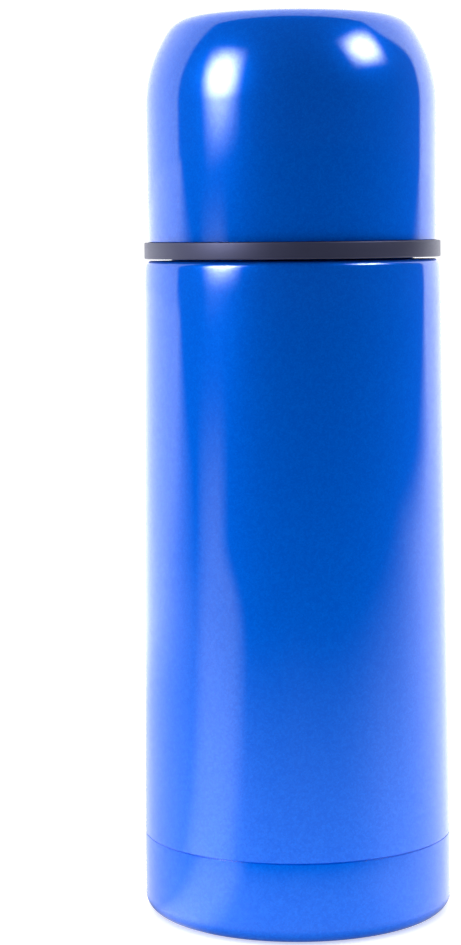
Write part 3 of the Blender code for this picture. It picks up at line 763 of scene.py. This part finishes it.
def push_button():
    """Hollow button with a dished top and a boss whose socket holds the stem."""
    top = button_high.z
    under = top - 1.8 * MM
    inner = BUTTON_RADIUS - 1.6 * MM
    boss, boss_z, socket = 4.2 * MM, 157.2 * MM, 164.0 * MM
    dish, dish_edge, dish_depth = 0.86 * BUTTON_RADIUS, 0.02 * MM, 0.5 * MM
    profile = [(share * dish, top - dish_depth * (1 - share**2)) for share in (0.0, 0.25, 0.5, 0.75)]
    profile += [(dish, top - dish_edge), (BUTTON_RADIUS, top)]
    profile += [(BUTTON_RADIUS, button_low.z), (inner, button_low.z), (inner, under), (boss, under)]
    profile += [(boss, boss_z), (STEM_BORE, boss_z), (STEM_BORE, socket), (0.0, socket)]
    return turned_mesh("button", eased(profile, radius=0.7 * MM, steps=5), SMALL_SEGMENTS)


def button_spring():
    """Coil with flat end turns."""
    wire, coil = 0.45 * MM, 6.7 * MM
    turns, end_turns, end_pitch, per_turn = 5.5, 0.75, 1.0 * MM, 32
    low, high = spring_low.z + wire, spring_high.z - wire
    active = (high - low - 2 * end_turns * end_pitch) / (turns - 2 * end_turns)
    curve = bpy.data.curves.new("spring_wire", "CURVE")
    curve.dimensions = "3D"
    curve.bevel_depth = wire
    curve.bevel_resolution = 4
    curve.use_fill_caps = True
    spline = curve.splines.new("POLY")
    count = round(turns * per_turn)
    spline.points.add(count)
    for index, point in enumerate(spline.points):
        turn = index / per_turn
        first = min(turn, end_turns)
        last = max(0.0, turn - (turns - end_turns))
        z = low + end_pitch * (first + last) + active * (turn - first - last)
        angle = math.tau * turn
        point.co = (coil * math.cos(angle), coil * math.sin(angle), z, 1.0)
    wire_obj = scene_object("spring_wire", curve)
    graph = bpy.context.evaluated_depsgraph_get()
    mesh = bpy.data.meshes.new_from_object(wire_obj.evaluated_get(graph))
    bpy.data.objects.remove(wire_obj)
    return scene_object("coil_spring", mesh)


def valve_stem():
    """Steel stem from the button to the valve, with a head at its foot."""
    head_top = stem_low.z + 1.3 * MM
    profile = [(0.0, stem_high.z), (STEM_RADIUS, stem_high.z), (STEM_RADIUS, head_top)]
    profile += [(stem_high.x, head_top), (stem_high.x, stem_low.z), (0.0, stem_low.z)]
    return turned_mesh("stem", eased(profile, radius=0.4 * MM), SMALL_SEGMENTS)


def valve_disc():
    """Disc that carries the valve's seal, with a hub round the stem."""
    rim_top, hub = 136.9 * MM, 4.8 * MM
    profile = [(STEM_BORE, disc_high.z), (hub, disc_high.z), (hub, rim_top), (disc_high.x, rim_top)]
    profile += [(disc_high.x, disc_low.z), (STEM_BORE, disc_low.z)]
    return turned_mesh("valve_plate", eased(profile, radius=0.4 * MM), SMALL_SEGMENTS)


def valve_seal():
    """Washer that closes the hole in the plug's floor."""
    profile = washer(5.1 * MM, seal_high.x, seal_low.z, seal_high.z)
    return turned_mesh("valve_washer", eased(profile, radius=0.5 * MM, steps=4), SMALL_SEGMENTS)


# ---------------------------------------------------------------- studio


CAMERA_DISTANCE = 0.5517
CAMERA_HEIGHT = 0.1514
CAMERA_PITCH = 1.27  # degrees below the horizon
CAMERA_YAW = 1.44  # degrees to the left
CAMERA_ROLL = -0.57  # degrees
CAMERA_LENS = 94.06  # millimetres
CAMERA_SENSOR = 36.0  # millimetres, on its long side
CAMERA_SHIFT = -0.2  # share of the long side

WHITE = (1.0, 1.0, 1.0)
WALL_COLOR = (0.97, 0.98, 1.0)
BACKDROP_STRENGTH = 1.05  # what the camera sees round the object
WALL_STRENGTH = 1.7  # the bright wall behind the object
WALL_RIGHT_STRENGTH = 0.5  # how much more of it there is on the right
WALL_FOOT_STRENGTH = 0.35  # how much more of it there is near the table
ROOM_STRENGTH = 0.02  # the dark room in front
TABLE_STRENGTH = 2.3  # the white part of the table
STRIP_STRENGTH = 1.8  # the bright strip across the table
TABLE_GLOW = 0.55  # the table's own light where the camera sees it
FILL_STRENGTH = 1.1  # light on matt surfaces from the wall and the table
TABLE_SIZE = 6.0  # from its middle to each side
TABLE_DROP = 0.05 * MM  # below the foot, so that the two faces don't meet

SOFTBOX_DISTANCE = 0.8
SOFTBOX_TARGET_Z = 0.18  # height on the object's axis that both softboxes face
SOFTBOX_FADE = 0.5  # share of a softbox's width over which its edge fades


def camera():
    """Long lens in front of the object, nearly level."""
    data = bpy.data.cameras.new("camera")
    data.lens = CAMERA_LENS
    data.sensor_width = CAMERA_SENSOR
    data.shift_y = CAMERA_SHIFT
    obj = scene_object("camera", data)
    pitch, yaw, roll = (math.radians(angle) for angle in (CAMERA_PITCH, CAMERA_YAW, CAMERA_ROLL))
    turn = Matrix.Rotation(yaw, 4, "Z") @ Matrix.Rotation(math.pi / 2 - pitch, 4, "X")
    turn = turn @ Matrix.Rotation(roll, 4, "Z")
    obj.matrix_world = Matrix.Translation((0.0, -CAMERA_DISTANCE, CAMERA_HEIGHT)) @ turn
    bpy.context.scene.camera = obj


# Below, azimuths are degrees to the right of the front, and lengths on the table are metres from the
# object's axis.


def white_depth(m):
    """How far behind the front edge of the table's white part a point lies.

    The edge is a bent line across the table: three stretches on the object's left and one on its right,
    and a slanting one far out on the right, which bends once more.
    """
    place = m.split(m.coordinates)
    x, y = place["X"], place["Y"]
    right_slope, left_slope, left_end, far_slope, far_start = 0.29, 0.35, 0.45, 0.12, 0.8
    right = m.product(m.calc("MAXIMUM", x, 0.0), -right_slope)
    left = m.product(m.calc("MAXIMUM", m.calc("MINIMUM", x, 0.0), -left_end), left_slope)
    far = m.product(m.calc("MINIMUM", m.total(x, far_start), 0.0), far_slope)
    near_edge = m.total(m.product(y, 0.957), far, right, left)

    side_start, bend_start, bend_slope = 0.25, 0.9, 0.33
    bend = m.product(m.calc("MAXIMUM", m.calc("SUBTRACT", x, bend_start), 0.0), bend_slope)
    side_edge = m.total(m.product(x, -0.74), m.product(y, 0.67), bend, side_start)
    return m.calc("MINIMUM", near_edge, side_edge)


def bright_strip(m, length, direction):
    """Strip of light that runs out from the object to the front left and dies away far out."""
    azimuth, edge_azimuth = -56.0, -142.0
    reach, steepness = 0.85, 4.0
    beam = m.ramp(m.facing(direction, azimuth), start=0.92, end=1.0, low=0.0, high=STRIP_STRENGTH)
    edge = m.total(m.facing(direction, edge_azimuth), m.ramp(length, start=0.2, end=0.5, low=0.4, high=0.0))
    cut = m.ramp(edge, start=-0.06, end=0.14)
    near = m.ramp(length, start=0.03, end=0.2, low=0.8, high=1.0)
    fall = m.total(m.calc("POWER", m.calc("DIVIDE", length, reach), steepness), 1.0)
    return m.calc("DIVIDE", m.product(beam, cut, near), fall)


def foot_shade(m, length):
    """Painted contact shadow: darkens the table under the object's edge."""
    return m.ramp(length, start=0.033, end=0.04, low=0.25, high=1.0)


def table_light(m):
    """What the object mirrors of the table: white behind and beside it, dark in front and on the left
    behind with painted shadows of the object, and one bright strip.
    """
    length = m.vector("LENGTH", m.coordinates, "Value")
    direction = m.vector("NORMALIZE", m.coordinates, 0)
    front_azimuth, side_azimuth, side_shadow_depth = 5.0, -112.0, 0.34
    white = m.ramp(white_depth(m), start=-0.3, end=0.06, low=0.0, high=TABLE_STRENGTH)
    # Painted shadow of the object on the table in front of it.
    front = m.ramp(m.facing(direction, front_azimuth), start=0.55, end=1.0, low=1.0, high=0.5)
    # Painted shadow of the object on the table to its left behind, strongest near it.
    side = m.ramp(m.facing(direction, side_azimuth), start=0.55, end=0.8)
    side_shadow = m.product(side, m.ramp(length, start=0.38, end=0.2), side_shadow_depth)
    white = m.product(white, m.calc("SUBTRACT", front, side_shadow))
    return m.product(m.total(white, bright_strip(m, length, direction)), foot_shade(m, length))


def table_fill(m):
    """The table's light on matt surfaces: bright at the sides, weaker in front, with painted shade near the
    object's foot.
    """
    length = m.vector("LENGTH", m.coordinates, "Value")
    direction = m.vector("NORMALIZE", m.coordinates, 0)
    front = m.ramp(length, start=0.06, end=0.2, low=1.8, high=0.5)
    front = m.product(front, m.ramp(length, start=0.3, end=0.45, low=1.0, high=0.0))
    side = m.ramp(length, start=0.25, end=0.5, low=2.5, high=0.7)
    # Painted shade on the table beside the object's foot.
    side = m.product(side, m.ramp(length, start=0.06, end=0.14, low=0.36, high=1.0))
    in_front = m.ramp(m.facing(direction, azimuth=0.0), start=0.26, end=0.71)
    beside = m.calc("SUBTRACT", 1.0, in_front)
    light = m.total(m.product(in_front, front), m.product(beside, side))
    return m.product(light, FILL_STRENGTH, foot_shade(m, length))


def floor():
    """Large pale table top with a faint mottle."""
    bm = bmesh.new()
    bmesh.ops.create_grid(bm, x_segments=2, y_segments=2, size=TABLE_SIZE)
    obj = mesh_object("floor", bm)
    obj.location.z = -TABLE_DROP
    m = SurfaceNodes("pale_floor")
    pale = m.mix_color(m.noise(8.0, 3.0), (0.88, 0.88, 0.89), (0.92, 0.92, 0.925))
    m.set(Base_Color=pale, Roughness=0.6, Specular_IOR_Level=0.2)
    m.set(Emission_Color=(*WHITE, 1.0), Emission_Strength=TABLE_GLOW)
    # To rays from the object the table glows, with painted light and painted shadows of the object on it.
    mirrored = m.add("ShaderNodeEmission", {"Strength": table_light(m)}).outputs[0]
    matt = m.add("ShaderNodeEmission", {"Strength": table_fill(m)}).outputs[0]
    surface = m.tree.nodes["Material Output"].inputs["Surface"]
    m.put(surface, m.by_ray(mirrored, matt, m.shader.outputs[0]))
    m.material.cycles.emission_sampling = "NONE"
    obj.data.materials.append(m.material)


def wall_light(w, place):
    """What the object mirrors of the room: a bright wall behind it, brighter low down and on the right.

    The wall starts farther back on the right than on the left, except high up.
    """
    x, y, z = (place[axis] for axis in "XYZ")
    left_edge = 0.155
    farther = w.ramp(z, start=0.3, end=0.75, low=0.36, high=0.0)
    edge = w.total(w.product(farther, w.ramp(x, start=-0.2, end=0.2)), left_edge)
    wall = w.ramp(w.calc("SUBTRACT", y, edge), start=-0.03, end=0.05)
    right = w.ramp(x, start=0.0, end=0.6, low=0.0, high=WALL_RIGHT_STRENGTH)
    foot = w.ramp(z, start=0.5, end=0.0, low=0.0, high=WALL_FOOT_STRENGTH)
    return w.total(w.product(w.total(right, foot, WALL_STRENGTH), wall), ROOM_STRENGTH)


def room_fill(w, place):
    """The room's light on matt surfaces: from behind, from the left and from above."""
    left_azimuth = -112.5
    behind = w.ramp(place["Y"], start=-0.08, end=0.12, low=0.0, high=2.5)
    left = w.ramp(w.facing(w.coordinates, left_azimuth), start=0.3, end=0.46, low=0.0, high=1.5)
    above = w.ramp(place["Z"], start=0.42, end=0.58)
    ceiling = w.ramp(place["Z"], start=0.6, end=1.0, low=0.42, high=1.5)
    around = w.product(w.calc("MAXIMUM", behind, left), w.calc("SUBTRACT", 1.0, above))
    return w.product(w.total(around, w.product(above, ceiling)), FILL_STRENGTH)


def world():
    """A bright wall round the back of the object and a dark room in front of it."""
    w = WorldNodes("studio")
    w.world.cycles.sampling_method = "NONE"
    bpy.context.scene.world = w.world
    place = w.split(w.coordinates)
    mirrored = w.background(wall_light(w, place), WALL_COLOR)
    matt = w.background(room_fill(w, place), WHITE)
    backdrop = w.background(BACKDROP_STRENGTH, WHITE)
    output = w.add("ShaderNodeOutputWorld", {"Surface": w.by_ray(mirrored, matt, backdrop)})
    output.is_active_output = True


def faded_edges(nodes):
    """Strength over a lamp's face: full in its middle, none at its edges."""
    place = nodes.split(nodes.add("ShaderNodeNewGeometry").outputs["Parametric"])
    fades = []
    for axis in "XY":
        from_edge = nodes.calc("PINGPONG", place[axis], 0.5)
        fades.append(nodes.ramp(from_edge, start=0.0, end=SOFTBOX_FADE))
    return nodes.product(*fades)


def softbox(name, azimuth, elevation, width, height, power, tilt=0.0):
    """Rectangular light that faces the object's axis and shows only as a reflection; angles in degrees."""
    a, e = math.radians(azimuth), math.radians(elevation)
    away = Vector((math.sin(a) * math.cos(e), -math.cos(a) * math.cos(e), math.sin(e)))
    light = bpy.data.lights.new(name, "AREA")
    light.shape = "RECTANGLE"
    light.size = width
    light.size_y = height
    light.energy = power
    light.use_nodes = True
    nodes = Nodes(light.node_tree)
    nodes.put(nodes.tree.nodes["Emission"].inputs["Strength"], faded_edges(nodes))
    obj = scene_object(name, light)
    turn = away.to_track_quat("Z", "Y").to_matrix().to_4x4() @ Matrix.Rotation(math.radians(tilt), 4, "Z")
    place = Vector((0.0, 0.0, SOFTBOX_TARGET_Z)) + SOFTBOX_DISTANCE * away
    obj.matrix_world = Matrix.Translation(place) @ turn
    obj.visible_camera = False
    obj.visible_diffuse = False


def studio():
    """Camera, table, room and the two soft lights."""
    camera()
    floor()
    world()
    softbox("left_softbox", azimuth=-57.0, elevation=20.0, width=0.55, height=0.73, power=58.0, tilt=6.0)
    softbox("right_softbox", azimuth=71.5, elevation=38.0, width=0.56, height=0.42, power=28.0)
    bpy.context.scene.view_settings.view_transform = "Standard"


# ---------------------------------------------------------------- assembly


def main():
    """Makes the materials, the finer pieces in place of the plain ones, and the studio."""
    paint = blue_paint()
    steel = brushed_steel()
    wire = polished_steel()
    grey = grey_plastic()
    black = black_plastic()
    rubber = silicone()
    foil = copper("copper_foil", 0.0004)
    tube = copper("copper_tube", 0.00005)

    finished(outer_shell(), "outer_shell", "flask", paint)
    finished(base_cup(), "base_cup", "flask", paint)
    finished(inner_vessel(), "inner_vessel", "flask", steel)
    finished(neck_collar(), "neck_collar", "flask", black)
    finished(cup_shell(), "cup_shell", "cup", paint)
    finished(cup_liner(), "cup_liner", "cup", steel)
    finished(cup_rim_ring(), "cup_rim_ring", "cup", grey)
    finished(cup_gasket(), "cup_gasket", "cup_seal", rubber)
    finished(stopper_seal_ring(), "stopper_seal_ring", "stopper_seal", rubber)
    finished(stopper_housing(), "stopper_housing", "stopper", black)
    finished(stopper_cover(), "stopper_cover", "stopper", grey)
    finished(stem_guide(), "stem_guide", "stopper", black)
    finished(stem_o_ring(), "stem_o_ring", "stopper", rubber)
    spring = finished(button_spring(), "button_spring", "stopper", wire)
    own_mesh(spring)
    finished(push_button(), "push_button", "button", grey)
    finished(valve_stem(), "valve_stem", "button", wire)
    finished(valve_disc(), "valve_disc", "button", black)
    finished(valve_seal(), "valve_seal", "button", rubber)

    for node, surface in (
        ("vacuum_end_plate", steel),
        ("getter", wire),
        ("heat_shield_foil", foil),
        ("pinch_off_tube", tube),
    ):
        coat(frame["nodes"][node], surface)
    studio()


main()
